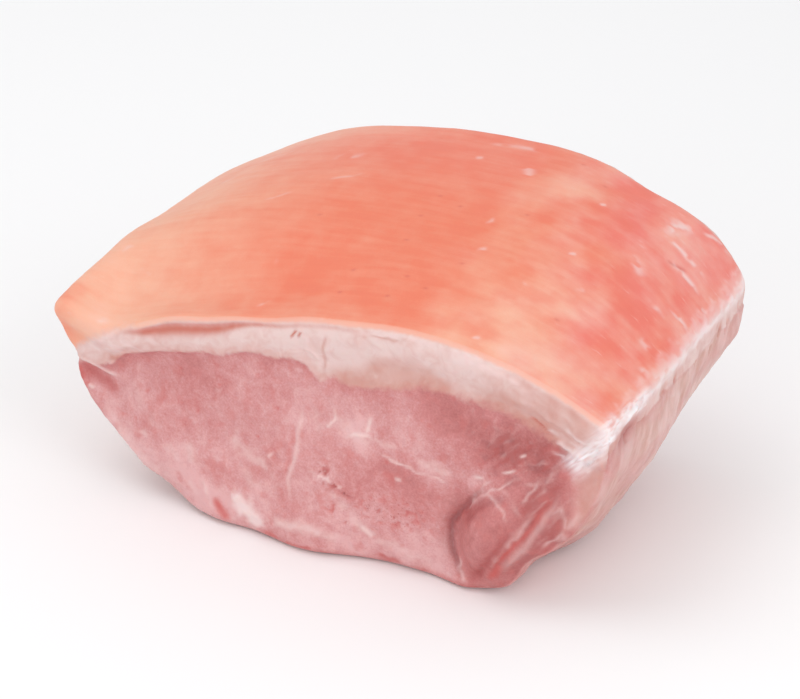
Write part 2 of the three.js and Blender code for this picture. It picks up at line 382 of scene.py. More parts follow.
# %% The fat's lower edge
FAT_FLOOR = {
    -124: 54, -116: 55, -110: 53, -101: 56, -93: 63, -81: 69, -72: 71, -52: 76, -44: 77, -34: 81,
    -27: 82, -21: 81, -13: 83, -8: 81, -5: 78, -1: 75, 4: 78, 11: 76, 22: 78, 32: 80, 44: 84,
    59: 84, 67: 83, 77: 82, 86: 79, 96: 76, 108: 71, 124: 68,
}
BACK_FAT_THICKNESS = 14
SIDE_FAT_THICKNESS = 12
FAT_WAVER = 3
fat_floor = line_height(FAT_FLOOR, x + 0.8 * wobble_u)
below_fat_front = fat_floor - z + 0.6 * lumps(4, 3, 2)
below_fat_back = below_rind - BACK_FAT_THICKNESS - FAT_WAVER * lumps(22, 4, 2)
below_fat_side = below_rind - SIDE_FAT_THICKNESS - FAT_WAVER * lumps(14, 5, 2)
below_fat = np.where(y < 0, front, 0) * below_fat_front + np.where(y > 0, back, 0) * below_fat_back
below_fat += (1 - cut) * below_fat_side
print("fat is up to", round(float((below_rind - below_fat)[front > 0.9].max()), 1), "mm thick in front")

# %% [markdown]
# ## Marks on the lean
# Each mark is a line or a spot drawn on the face with a width, a height and tints: clefts and seams go in,
# ridges and beads stand out, and threads of pale tissue are mostly tint. A line can be whole and smooth, or
# ragged and broken up at random. The tints are shares of red, pale, dark, tan and white.

# %% Ways to draw on the front cut
height = np.zeros(count)
paint = {name: np.zeros(count) for name in ("red", "pale", "dark", "tan", "white")}


def mark(amount, lift, **tints):
    """Adds a mark: `lift` mm of height where amount is 1, and a share of each named tint."""
    global height
    height = height + lift * amount
    for name, strength in tints.items():
        paint[name] = np.maximum(paint[name], strength * amount)


def front_line(path, width, lift, taper=0.25, whole=False, **tints):
    """A line on the front cut, whole and smooth or ragged and broken up at random."""
    if whole:
        amount = stroke(path, width, taper, x + 0.7 * wobble_u, z + 0.7 * wobble_v)
    else:
        amount = stroke(path, width, taper, front_x, front_z) * broken
    mark(front * amount, lift, **tints)


def spot(cx, cz, reach_x, reach_z, slant=0.0):
    """1 at a place on the front cut, fading over its reach; slant tilts it, in mm of x for each mm of z."""
    return bell(np.hypot((x - cx - slant * (z - cz)) / reach_x, (z - cz) / reach_z), 1)


print("tints:", ", ".join(paint))

# %% [markdown]
# ## The cleft and the folds
# The biggest mark is the curved cleft round the small oval muscle at the lower right. Past it the muscle
# ends in folds that fan out from the right edge towards the foot, some dark and deep, some pale and raised.
# The dark tint in the cleft and in the deep folds is painted shade.

# %% Cleft and folds
CLEFT = [(76, 48), (70, 46), (65, 41), (61, 35), (58, 28), (57, 21), (58, 14), (61, 9), (65, 4)]
# Painted shade: the cleft is darkened softly across its width and strongly along its narrow crease.
front_line(CLEFT, 4.5, -1.0, whole=True, dark=0.15)
front_line(CLEFT, 1.3, -1.5, taper=0.2, whole=True, dark=0.75)
mark(front * spot(75, 29, 10, 17, 0.3), 2.2)
# Painted shade under the upper left edge of the small muscle.
front_line([(77, 45), (71, 42), (66, 37), (63, 30)], 3.0, -0.3, whole=True, dark=0.6, red=0.35)
front_line([(60, 46), (55, 36), (53, 24), (54, 10)], 3.0, 0.5, whole=True, pale=0.08)
front_line([(60, 14), (61, 9), (66, 3)], 0.8, 0.4, pale=0.6)
# Painted shade darkens the deeper folds, here and in the broad fold further down.
front_line([(90, 40), (85, 31), (80, 24), (71, 11), (65, 2)], 1.8, -1.6, whole=True, dark=0.45, red=0.6)
DEEP_FOLD = [(103, 56), (99, 48), (94, 38), (88, 30), (82, 21), (76, 12)]
front_line(DEEP_FOLD, 1.3, -1.2, whole=True, tan=0.9, red=0.9)
front_line([(96, 46), (90, 36), (84, 27), (77, 17)], 1.2, 0.4, pale=0.4)
RAISED_FOLD = [(105, 56), (101, 48), (96, 38), (91, 29), (86, 22), (80, 14)]
front_line(RAISED_FOLD, 1.6, 0.8, whole=True, pale=0.4, tan=0.45)
front_line([(84, 22), (80, 16), (74, 8)], 1.5, -0.5, whole=True, red=1.0)
front_line([(108, 50), (104, 38), (98, 27), (92, 14)], 2.6, -1.0, whole=True, dark=0.3, tan=0.5, red=0.3)
front_line([(101, 54), (105, 48), (107, 40), (106, 33)], 1.0, 0.2, pale=0.45)
front_line([(112, 50), (108, 40), (104, 32)], 2.0, 0.4, pale=0.4)
front_line([(111, 44), (104, 36), (97, 29)], 0.8, 0.2, pale=0.5)
front_line([(109, 54), (99, 44)], 0.8, 0.2, pale=0.4)
print("deepest fold:", round(float(height.min()), 1), "mm")

# %% [markdown]
# ## Threads over the folds
# Thin white threads of connective tissue run along and across the folds. A crease over the small muscle is
# darkened with painted shade, and three short bright streaks under the fat are painted highlights, glints on
# the wet meat.

# %% Threads over the folds
front_line([(63, 35), (66, 41), (71, 45), (77, 49), (83, 53), (90, 58)], 0.6, 0.3, pale=0.6)
front_line([(66, 42), (71, 47), (74, 53)], 0.6, 0.2, pale=0.4)
# Painted shade along the crease that curves over the top of the small muscle.
front_line([(64, 31), (70, 41), (77, 45), (86, 49)], 1.8, -0.8, whole=True, dark=0.45)
front_line([(69, 47), (76, 46), (82, 43), (86, 38)], 0.7, 0.3, pale=0.5)
front_line([(97, 60), (92, 52), (89, 45)], 0.7, 0.3, pale=0.45)
front_line([(102, 60), (96, 56), (88, 54)], 0.7, 0.2, pale=0.35)
front_line([(99, 66), (92, 62), (84, 61)], 0.7, 0.2, pale=0.35)
front_line([(104, 66), (98, 58), (95, 50)], 0.8, 0.2, pale=0.35)
front_line([(93, 40), (86, 45), (78, 52)], 0.9, 0.1, pale=0.25)
# Painted highlights: short bright glints on the wet meat.
front_line([(66, 51), (72, 52)], 0.6, 0.2, taper=0.4, whole=True, pale=1.0)
front_line([(78, 56), (86, 59)], 0.6, 0.3, taper=0.4, whole=True, pale=1.0)
front_line([(85, 64), (89, 66)], 0.6, 0.2, taper=0.4, whole=True, pale=0.9)
print("share of the skin that is tinted pale:", round(float((paint["pale"] > 0.2).mean()), 3))

# %% [markdown]
# ## The middle of the cut
# One long seam runs down the middle between two muscles, with a redder shade beside it. To its right are
# broad faint bands where the grain turns, and short bright threads near the fat.

# %% Middle of the cut
LONG_SEAM = [(-8, 66), (-9, 58), (-10, 50), (-10, 39), (-13, 30), (-12, 25), (-11, 18)]
front_line(LONG_SEAM, 1.0, 0.2, whole=True, pale=0.55)
front_line([(-12, 55), (-12, 48), (-13, 38), (-15, 30)], 1.2, -0.4, whole=True, red=0.45)
front_line([(-15, 55), (-18, 45), (-23, 34)], 1.8, -0.2, red=0.35)
front_line([(-41, 46), (-39, 37), (-34, 35), (-26, 34), (-19, 29)], 2.4, 0.0, pale=0.5)
front_line([(-30, 37), (-24, 33), (-18, 28)], 1.0, 0.1, pale=0.6)
front_line([(-24, 37), (-19, 40)], 0.9, 0.2, pale=0.8)
front_line([(-38, 32), (-30, 24), (-20, 25), (-17, 31)], 2.0, 0.0, pale=0.3)
front_line([(0, 41), (4, 33), (13, 23), (22, 16), (28, 13), (41, 8), (56, 4)], 2.2, -0.2, pale=0.5)
front_line([(19, 19), (25, 13)], 1.4, 0.3, whole=True, pale=0.9)
front_line([(30, 12), (40, 9), (50, 9)], 1.0, 0.1, pale=0.7)
front_line([(24, 53), (34, 51), (41, 50), (44, 48), (52, 47), (60, 46)], 0.7, 0.0, pale=0.9)
front_line([(42, 52), (50, 52), (60, 49)], 2.2, 0.0, pale=0.55)
front_line([(33, 42), (38, 43)], 0.8, 0.2, taper=0.4, whole=True, pale=0.8)
front_line([(28, 46), (33, 42), (33, 37)], 2.0, 0.0, red=0.4)
front_line([(3, 70), (5, 64), (8, 59), (18, 56), (26, 53)], 2.6, 0.0, pale=0.35)
front_line([(10, 54), (15, 57), (21, 58), (25, 55)], 0.9, 0.3, taper=0.4, whole=True, pale=1.0)
front_line([(19, 57), (21, 61), (22, 67)], 0.8, 0.2, taper=0.4, whole=True, pale=0.9)
front_line([(5, 67), (6, 61), (3, 57), (7, 59)], 0.8, 0.2, taper=0.4, whole=True, pale=0.9)
front_line([(-2, 66), (-3, 58), (0, 52)], 2.0, 0.0, pale=0.3)
front_line([(20, 58), (28, 56), (36, 57)], 1.0, 0.0, pale=0.4)
print("share of the skin that is tinted pale:", round(float((paint["pale"] > 0.2).mean()), 3))

# %% [markdown]
# ## The foot and the left of the cut
# A crumbly white streak of gristle lies near the foot, with redder lines round it. Along the foot, where the
# joint meets the board, dark red lines and a darker rim are painted shade. The left of the cut has only broad
# faint bands.

# %% Foot and left
gristle = 1.6 * stroke([(-41, 17), (-35, 13), (-29, 9), (-22, 5)], 4.4, 0.25, front_x, front_z)
gristle = front * np.clip(gristle - 0.3 + 0.35 * lumps(3, 17, 2), 0, 1)
mark(gristle, 0.9, pale=1.0, white=0.15)
front_line([(-24, 10), (-14, 11), (-4, 13), (8, 11), (14, 8)], 2.0, 0.2, pale=0.7)
front_line([(-22, 14), (-20, 8)], 0.9, -0.3, red=0.6)
front_line([(-40, 18), (-35, 17), (-30, 15)], 0.9, -0.5, red=0.6)
front_line([(-49, 13), (-45, 8), (-41, 3)], 2.2, -0.4, whole=True, red=1.0)
# Painted shade: dark red lines along the foot, where the joint meets the board.
front_line([(-30, 3), (-18, 2), (-4, 2), (8, 3)], 1.4, -0.2, red=0.9)
front_line([(22, 4), (33, 3), (44, 3)], 1.6, -0.3, red=0.9, dark=0.2)
front_line([(-54, 20), (-51, 12), (-48, 6)], 0.9, 0.4, pale=0.6)
front_line([(-62, 18), (-56, 10)], 2.4, 0.0, pale=0.4)
front_line([(-106, 40), (-96, 27), (-82, 15), (-66, 6)], 4.0, 0.1, pale=0.5)
front_line([(-101, 38), (-92, 34)], 0.8, -0.4, red=0.5)
front_line([(-96, 33), (-86, 30), (-78, 31)], 0.9, 0.0, pale=0.5)
front_line([(-63, 33), (-57, 24)], 2.5, 0.0, pale=0.45)
front_line([(-72, 30), (-66, 22)], 2.0, 0.0, pale=0.3)
front_line([(-92, 52), (-84, 40), (-72, 34)], 3.0, 0.0, pale=0.2)
# Painted shade: a dark red rim along the foot at the right of the cut.
foot_shade = front * soft(5, 1, z) * soft(-30, -15, x) * soft(-0.4, 0.5, lumps((14, 9, 9), 9))
mark(foot_shade, -0.3, dark=0.1, red=0.5)
print("share of the skin that is gristle:", round(float((gristle > 0.5).mean()), 4))

# %% [markdown]
# ## Tears and frayed meat
# Where the meat was pulled open it is torn into tiny red pits and pale flecks. Under the fat at the right it
# frays along the slant of the fibres, and pinpricks of blood are scattered over the rest.

# %% Tears and frayed meat
PINPRICKS = [(-67, 63), (-29, 71), (-47, 62), (-83, 49), (-20, 59), (-88, 36), (-29, 44), (-58, 47), (30, 49)]
flecks = lumps(2.2, 10, 2)
tear = front * stroke([(-1, 41), (3, 35), (8, 33), (14, 29)], 4.0, 0.2, front_x, front_z)
mark(tear * soft(0.15, 0.5, flecks), -1.1, red=1.0, dark=0.2)
mark(tear * soft(0.2, 0.6, -flecks), 0.3, pale=0.8)
low_tear = front * stroke([(-2, 31), (4, 27), (10, 21), (16, 17)], 2.5, 0.2, front_x, front_z)
mark(low_tear * soft(0.1, 0.5, flecks), -0.8, red=0.9)
mark(front * spot(13.5, 30.5, 2.6, 1.1, -0.8), -1.0, red=0.8, dark=0.4)
haze = lumps((6, 6, 1.8), 35, 3, at=slanted)
fraying = front * np.maximum(spot(86, 64, 20, 12), spot(98, 46, 10, 14))
mark(fraying * soft(0.15, 0.8, haze), 0.1, pale=0.25)
mark(fraying * soft(0.15, 0.8, -haze), -0.3, dark=0.35, red=0.5)
for cx, cz in PINPRICKS:
    mark(front * spot(cx, cz, 0.8, 0.8), -0.4, red=0.7)
print("deepest mark of the front cut:", round(float(height.min()), 1), "mm")

# %% [markdown]
# ## The line under the rind
# Just under the rind runs a thin red-brown line of tissue, wide at the left and thin towards the middle,
# where it stops.

# %% Line under the rind
below_edge = below_rind - RIND_THICKNESS
line_width = 0.8 + 1.2 * soft(-90, -66, x) * (1 - soft(-50, -26, x))
line_share = soft(-96, -80, x) * (1 - 0.35 * soft(-45, -25, x)) * (1 - soft(12, 24, x))
line_share = line_share * (1 - 0.55 * soft(-30, -5, x)) * (0.75 + 0.25 * broken)
below_line = below_edge - 1.5 * line_width + 0.3 * wobble_u
mark(front * bell(below_line, line_width) * line_share, -0.6, tan=1.0, red=0.45)
mark(front * bell(below_line + 0.8 * line_width, 0.7) * line_share, -0.3, red=0.6)
print("the line is up to", round(float(line_width.max()), 1), "mm wide")

# %% [markdown]
# ## Crease, crack and flap
# A crease and a crack cross the fat near the middle. At the left tip a thin flap hangs over the lean, which
# is dark in its shadow, and pale streaks run through the fat along the joint.

# %% Crease, crack and flap
front_line([(-10, 100), (-7, 94), (-3, 87), (-1, 81)], 1.5, 0.6, pale=0.9)
front_line([(-12, 90), (-8, 86), (-5, 81)], 2.5, -0.4, pale=0.2)
front_line([(3, 98), (1, 90), (0, 79)], 0.6, -0.2, taper=0.15, whole=True, tan=0.5)
front_line([(-12.5, 93), (-10.5, 96)], 0.5, -0.3, taper=0, whole=True, tan=1.0, red=0.5)
front_line([(-9, 94), (-8, 96)], 0.5, -0.3, taper=0, whole=True, tan=1.0, red=0.5)
front_line([(-118, 57), (-112, 55), (-106, 53), (-96, 51)], 0.8, 0.9, whole=True, pale=1.0)
FLAP_SHADOW = [(-118, 53), (-111, 49), (-104, 46), (-97, 41)]
front_line(FLAP_SHADOW, 3.4, -1.4, taper=0.3, whole=True, dark=0.3, red=0.75)
near_face = soft(-40, -50, y)
mark(near_face * stroke([(-118, 52), (-115, 46), (-112, 41)], 1.8, 0.2, x, front_z) * broken, 0.3, red=1.0)
mark(near_face * stroke([(-113, 44), (-110, 42)], 0.9, 0.3, x, z), 0.3, pale=1.0)
front_line([(-110, 64), (-100, 70), (-92, 76)], 1.0, 0.2, pale=0.6)
front_line([(-106, 60), (-96, 66), (-84, 73)], 1.6, 0.2, pale=0.7)
front_line([(-108, 57), (-98, 60), (-90, 66)], 1.2, -0.2, tan=0.6)
front_line([(20, 103), (30, 104.5), (40, 104.5), (52, 104)], 0.7, 0.3, pale=1.0)
front_line([(16, 101), (30, 103), (46, 103)], 0.7, -0.1, tan=0.5)
front_line([(44, 104), (60, 103), (72, 101), (84, 97), (97, 91)], 1.8, 0.3, pale=1.0)
front_line([(80, 94), (92, 89), (103, 82)], 1.8, 0.2, pale=0.6)
front_line([(86, 84), (93, 81), (100, 76)], 0.8, -0.4, red=0.5, tan=0.9)
front_line([(100, 86), (106, 80), (112, 74)], 1.2, 0.2, pale=0.6)
mark(front * spot(-101, 57, 1.0, 1.0), 0.8, pale=0.4)
print("fat marks drawn; deepest point so far:", round(float(height.min()), 1), "mm")

# %% [markdown]
# ## Stains in the fat
# The lower part of the fat is stained tan by the lean, up to a line whose height is given at a few places.
# Towards the right end the whole band is faintly peach-coloured.

# %% Stains in the fat
TAN_TOP = {
    -3: 60, 1: 79, 8: 83, 18: 86, 24: 90, 35: 92, 47: 92, 58: 88, 68: 89, 79: 93, 95: 92, 108: 86, 118: 76,
}
below_tan_top = line_height(TAN_TOP, x) + 2.5 * wobble_v - z
tan_band = soft(-6, 4, below_tan_top) * soft(4, 1, below_fat_front) * soft(-2, 10, x)
tan_band = tan_band * (1 - 0.7 * bell(x - 62, 8)) * (0.7 + 0.3 * broken)
mark(front * tan_band, -0.2, tan=0.55)
peach = soft(60, 100, x) * soft(-1, -3, below_fat_front) * soft(2, 4, below_rind)
mark(front * peach * (0.6 + 0.4 * broken), 0.0, tan=0.45)
print("share of the skin that is stained tan:", round(float((paint["tan"] > 0.2).mean()), 3))

# %% [markdown]
# ## The torn ribbon
# Rind and fat have been pulled at the near right corner, which leaves a ribbon of torn white fibre running up
# to the corner and back along the right edge. Its fibres are lumps stretched along the slant. White wisps
# trail from it into the fat, and under it the side is sunk into a small reddish hollow, darkened with painted
# shade.

# %% Torn ribbon
RIBBON = [
    (104, -64, 61), (107, -64, 65), (113, -64, 72), (119, -66, 79), (123, -63, 86), (123, -50, 86),
    (123, -36, 85), (123, -22, 85),
]
WISPS = [
    [(95, 80), (103, 77), (113, 75)], [(99, 75), (106, 73), (112, 71)], [(104, 83), (110, 80), (117, 78)],
    [(98, 71), (104, 68), (110, 67)], [(106, 60), (112, 64), (116, 70)],
]
torn = lumps((14, 6, 1.3), 11, 2, at=slanted)
ribbon = stroke(RIBBON[:6], 4.0, 0.2, x, y + 0.8 * wobble_u, z + 0.8 * wobble_v)
ribbon = np.maximum(ribbon, 0.8 * stroke(RIBBON[4:], 3.0, 0.3, x, y + 0.8 * wobble_u, z + 0.8 * wobble_v))
ribbon = np.clip(1.3 * ribbon, 0, 1) * soft(-1.2, -0.4, torn)
mark(ribbon * soft(-0.4, 0.4, torn), 0.7, white=1.0)
mark(ribbon * soft(0.4, -0.4, torn), -0.3, white=0.75)
for path in WISPS:
    front_line(path, 1.0, 0.2, white=0.45)
front_line([(99, 77), (105, 75), (112, 72)], 3.0, 0.1, pale=0.4)
# Painted shade: the small hollow under the ribbon is darkened as well as sunk.
shaded_hollow = soft(110, 116, x) * soft(3, 6, below_rind) * bell(np.hypot((y + 48) / 9, (z - 76) / 5.5), 1)
mark(shaded_hollow, -1.4, dark=0.7, red=0.75)
print("share of the skin that is torn white:", round(float((paint["white"] > 0.5).mean()), 4))

# %% [markdown]
# ## The outer sides
# The right edge of the rind is scuffed to a pale haze. Below it the outside of the muscle hangs in soft
# upright strands that lean a little, with small pits just under the fat and one deep fold. The left end is
# built in the same way, more quietly.

# %% Outer sides
edge_haze = 0.5 + 0.5 * soft(-0.5, 0.5, lumps((4, 4, 2), 14, 2))
right_edge = soft(118, 122, x + 1.5 * lumps((4, 3, 3), 16, 2)) * bell(below_rind - 2.5, 2.5)
mark(right_edge * edge_haze, 0.2, white=0.45, pale=0.6)
bent = np.stack([x, y + 0.2 * z + 2 * wobble_u, z], axis=1)
strands = 0.7 * lumps((30, 6, 26), 12, 3, at=bent) + 0.5 * lumps((14, 9, 11), 15, 2)
mark((right + 0.6 * left) * soft(4, 9, below_rind) * soft(-0.1, 0.8, strands), 0.2, pale=0.4)
mark((right + 0.6 * left) * soft(4, 9, below_rind) * soft(0.1, 0.8, -strands), -0.25, tan=0.45)
mark(right * soft(-20, -60, y) * soft(100, 80, z), 0.0, tan=0.65, red=0.18)
mark(front * soft(96, 112, x) * soft(74, 62, z), 0.0, tan=0.5, red=0.15)
pits = soft(0.4, 0.8, lumps((9, 3.5, 7), 13)) * bell(below_rind - 14, 6)
mark(right * pits, -0.9, tan=0.9)
# Painted shade: the deep fold in the side is darkened as well as sunk.
fold = stroke([(-72, 30), (-64, 34), (-54, 36), (-44, 37)], 2.2, 0.3, y, z) * soft(92, 102, x)
mark(fold, -2.0, dark=0.6)
print("side strands run from", strands.min().round(2), "to", strands.max().round(2))

# %% [markdown]
# ## Seams of the back cut
# The back is a cut face like the front, so it has seams of its own: pale lines where muscles meet, each with
# a shallow red valley beside it.

# %% Back seams
BACK_SEAMS = [
    ([(-96, 70), (-70, 82), (-40, 90), (-8, 92)], 1.0, 0.5),
    ([(-62, 20), (-50, 42), (-46, 62), (-52, 80)], 1.1, 0.7),
    ([(-48, 50), (-22, 46), (4, 54), (30, 74)], 0.9, 0.6),
    ([(30, 74), (48, 60), (58, 40), (56, 18)], 1.6, 0.8),
    ([(58, 40), (76, 50), (96, 54)], 0.9, 0.7), ([(6, 24), (16, 36), (14, 54)], 0.8, 0.6),
    ([(-90, 44), (-78, 34), (-70, 22)], 1.2, 0.5), ([(70, 76), (84, 68), (98, 70)], 0.9, 0.6),
]
for path, width, strength in BACK_SEAMS:
    seam = back * stroke(path, width, 0.2, x + 1.5 * wobble_u, z + 1.5 * wobble_v)
    mark(seam * broken, 0.2, pale=strength)
    beside = back * stroke(path, 2.5 * width, 0.2, x + 2 + 1.5 * wobble_u, z - 1.5 + 1.5 * wobble_v)
    mark(beside, -0.5, red=0.4)
print(len(BACK_SEAMS), "seams on the back cut")

# %% [markdown]
# ## Marks on the rind
# The rind was scraped clean, so it is nearly smooth. What shows is a scatter of short pale scrape marks,
# mostly near the right end, one red nick, and a few hair roots. Hair roots set by a random pattern would look
# like a print, so each has a place of its own.

# %% Scrapes, nick and hair roots
SCRAPES = [
    ([(95, 44), (97, 51), (100, 58), (103, 62)], 2.6, 1.0), ([(104, 62), (109, 66), (116, 67)], 1.0, 0.9),
    ([(95, 44), (102, 43), (109, 43), (116, 43)], 1.1, 1.0),
    ([(104, 35), (110, 34), (117, 32)], 1.4, 1.0), ([(92, 19), (96, 17), (101, 13)], 2.2, 0.7),
    ([(108, 7), (113, 4)], 1.8, 0.6), ([(112, 14), (117, 13), (123, 12)], 1.3, 1.0),
    ([(111, -14), (117, -15)], 2.2, 0.6), ([(118, -24), (123, -27)], 2.0, 0.7),
    ([(118, 27), (122, 31)], 1.1, 0.6), ([(89, 55), (93, 58)], 0.9, 0.8),
    ([(70, 37), (73, 39)], 0.9, 0.8), ([(73, 0), (77, 2)], 0.9, 0.8), ([(84, -15), (88, -13)], 0.9, 0.6),
    ([(36, 2), (41, 5)], 1.4, 0.6), ([(42, -17), (47, -14)], 1.2, 0.6),
    ([(50, -34), (53, -32)], 0.9, 0.7), ([(68, -25), (72, -22)], 1.1, 0.6),
    ([(11, 45), (15, 47)], 1.2, 0.6), ([(33, 50), (38, 37)], 2.2, 0.6),
    ([(8, 60), (22, 63), (36, 64)], 1.6, 0.6), ([(-115, -32), (-107, -25)], 1.0, 0.5),
    ([(-106, -64), (-98, -61)], 1.0, 1.0), ([(-40, 12), (-26, 20)], 1.0, 0.4),
    ([(-62, -5), (-50, 2)], 0.9, 0.3), ([(-34, -58), (-27, -52)], 0.8, 0.4),
    ([(-50, 32), (-34, 38)], 2.6, 0.4), ([(62, -60), (66, -58)], 0.9, 0.7),
    ([(-90, 40), (-74, 48)], 1.0, 0.6), ([(-98, 22), (-90, 28)], 1.2, 0.5),
    ([(90, 30), (96, 27)], 1.0, 0.5),
]
top = soft(0.2, 0.5, normals[:, 2]) * soft(3.5, 1.5, below_rind)
ragged = soft(-0.7, 0.3, lumps((5, 2, 2), 20))
for path, width, strength in SCRAPES:
    mark(top * stroke(path, width, 0.35, x + wobble_u, y + wobble_v) * ragged, -0.12, pale=strength)
mark(top * stroke([(102, 32), (106, 34), (110, 37)], 0.8, 0.25, x, y), -0.3, red=0.8)
HAIR_ROOTS = [
    (12, 12), (23, 8), (11, -3), (13, -19), (41, -26), (24, -39), (34, -43), (0, -50), (21, -50), (0, -39),
    (52, 61), (50, 13), (-30, -12), (86, -34), (66, 52),
]
for cx, cy in HAIR_ROOTS:
    mark(top * bell(np.hypot((x - cx) / 1.6, y - cy), 0.6), -0.1, red=0.6)
print(len(SCRAPES), "scrapes and", len(HAIR_ROOTS), "hair roots on the rind")

# %% [markdown]
# ## Softness all over
# Last come the lumps that nobody draws: slow swells in the lean, small red pits in one place, crumbly meat
# under the fat at the right, a soft bulge along the fat and a lip at its lower edge. Each tissue gets its own
# sizes. The flat that rests on the board is left alone, so that the joint still stands.

# %% Random relief
lean = soft(-0.8, 0.8, below_fat)
fat = (1 - lean) * soft(RIND_THICKNESS - 0.4, RIND_THICKNESS + 0.4, below_rind)
rind = soft(RIND_THICKNESS + 0.4, RIND_THICKNESS - 0.4, below_rind)
height += lean * (0.8 * lumps(17, 31, 2) + 0.22 * lumps(5, 32, 2) + 0.08 * lumps(2.2, 33))
pored = front * spot(32, 26, 17, 7)
mark(pored * soft(0.35, 0.7, lumps(1.9, 34)), -0.7, red=0.8)
crumbly = front * spot(84, 64, 18, 12)
crumbs = lumps(3.2, 36, 2)
mark(crumbly * np.clip(crumbs, -1, 1), 0.5)
mark(crumbly * soft(0.1, 0.6, -crumbs), 0.0, dark=0.6)
height += fat * (0.45 * lumps(11, 37, 2) + 0.07 * lumps(2.6, 38))
height += fat * 0.9 * bell(below_rind - 8, 5) * cut
height += rind * (0.35 * lumps(28, 39, 2) + 0.05 * lumps((8, 3, 3), 40))
height += 0.6 * front * bell(below_fat + 0.8, 1.4) * soft(-124, -95, x)
standing = soft(0.3, 4, z - low[2])
moved = points + normals * (height * standing)[:, None]
moved[:, 2] = np.maximum(moved[:, 2], low[2])
joint.data.vertices.foreach_set("co", (moved / 1000).ravel())
joint.data.update()
joint.data.shade_smooth()
print("relief runs from", round(float(height.min()), 1), "to", round(float(height.max()), 1), "mm")

# %% [markdown]
# ## Patches on the rind
# The shader can't know where the fat ends or where blood has pooled, so the skin carries that knowledge as
# named numbers, one per point. The rind's numbers say how warm it is, how pink, and how much it was scraped.
# A patch is a place across and back, a reach, and how much warmer it is.

# %% Rind patches
RIND_PATCHES = [
    (80, 32, 15, 0.45), (62, 20, 9, 0.3), (96, 5, 11, 0.3), (113, -8, 13, 0.35), (112, 20, 10, 0.2),
    (60, -24, 10, 0.2), (72, -47, 14, -0.35), (97, -52, 12, -0.45), (54, 42, 11, -0.3), (98, 46, 9, -0.3),
    (74, -3, 10, -0.25), (-32, 20, 9, -0.25), (-20, -42, 12, 0.15), (-121, -61, 8, 0.7),
    (76, 58, 10, 0.35), (-74, 40, 12, 0.15), (104, -36, 9, 0.25), (46, 18, 9, -0.15), (-84, -18, 9, 0.12),
    (49, -27, 9, -0.2), (-14, -58, 12, -0.2), (85, -29, 8, -0.45), (45, -52, 9, -0.25),
    (48, 30, 14, -0.2), (66, 48, 8, -0.2), (100, -4, 9, 0.15), (114, 30, 7, 0.15), (35, -62, 10, 0.25),
    (82, -54, 9, -0.35),
]
warm = 0.95 * soft(-125, -8, x) - 0.3 * soft(30, 62, x) - 0.3 * bell(y + 68, 9)
for cx, cy, reach, strength in RIND_PATCHES:
    warm = warm + strength * bell(np.hypot(x - cx + 3 * wobble_u, y - cy + 3 * wobble_v), reach)
warm += 0.10 * lumps((26, 14, 14), 51, 2) + 0.3 * soft(30, 65, x) * lumps((10, 7, 8), 54, 3)
warm -= 0.35 * soft(48, 66, y) * soft(20, -60, x)
pinkness = 0.62 * soft(45, 105, x) + 0.35 * soft(-10, 60, y) + 0.25 * lumps(14, 52, 2) * soft(20, 60, x)
scraped = 0.1 + 0.9 * soft(60, 110, x) + 0.8 * soft(15, 50, y) * soft(-20, -80, x)
print("warmth of the rind runs from", warm[top > 0.5].min().round(2), "to", warm[top > 0.5].max().round(2))

# %% [markdown]
# ## Patches on the lean
# The lean is lighter or darker partly as the muscle bundles turn, and partly by painted light and shade:
# painted shade just under the fat and towards the right end, painted light low down near the board. A patch
# is a place across and up, its two reaches, and how much lighter it is.

# %% Lean patches
LEAN_LIGHTNESS = 0.70
# Among the patches, the dark ones under the fat at both ends are painted shade, and the light ones low down
# in the middle near the board are painted light.
LEAN_PATCHES = [
    (-95, 60, 26, 14, -0.16), (-62, 68, 20, 9, -0.16), (-84, 22, 22, 9, 0.32), (16, 57, 8, 8, 0.25),
    (33, 43, 14, 7, -0.22), (50, 55, 12, 7, 0.10), (40, 64, 16, 5, 0.06), (52, 77, 15, 7, -0.32),
    (83, 68, 18, 9, -0.65), (103, 74, 6, 8, -0.5), (70, 50, 9, 6, 0.22), (98, 50, 8, 14, -0.38),
    (100, 30, 9, 16, -0.28), (62, 27, 7, 14, -0.22), (47, 30, 10, 14, -0.12), (77, 30, 10, 18, -0.12),
    (112, 62, 6, 12, 0.1), (20, 18, 14, 8, 0.08), (-20, 66, 26, 10, -0.06), (68, 12, 8, 8, -0.1),
    (92, 20, 8, 8, -0.25), (80, 16, 22, 16, -0.3), (80, 36, 20, 18, -0.2), (98, 40, 10, 20, -0.2),
    (-50, 12, 22, 9, 0.4), (-104, 34, 12, 12, 0.1), (74, 28, 9, 14, 0.25), (30, 6, 34, 8, 0.25),
    (-16, 50, 18, 16, 0.12), (38, 60, 14, 10, 0.14), (50, 14, 14, 10, 0.22),
]
# Painted shade: the lean is darker just under the fat, where its lip shades it, and towards the right end.
tone_light_and_shade = LEAN_LIGHTNESS + 0.14 * lumps(13, 53, 2) - 0.14 * soft(7, 0, below_fat)
tone_light_and_shade = tone_light_and_shade - 0.12 * soft(30, 70, x) * front
for cx, cz, reach_x, reach_z, strength in LEAN_PATCHES:
    tone_light_and_shade = tone_light_and_shade + strength * spot(cx, cz, reach_x, reach_z) * front
# Painted shade on the back cut too: darker just under the fat.
tone_light_and_shade += back * (0.2 * lumps((34, 34, 22), 56, 2) - 0.18 * soft(10, 0, below_fat))
print("lightness of the lean runs from", tone_light_and_shade.min().round(2), "to", tone_light_and_shade.max().round(2))

# %% [markdown]
# ## Fat, borders and membrane
# Fat is creamiest away from the lean, and duller towards both ends. The borders between tissues are crisp
# where the knife was sharp and blurred where the meat is frayed, so a depth is divided by how blurred its
# border should be. The thin membrane covers both ends and the underside in torn sheets, and wraps a little
# way round onto the front.

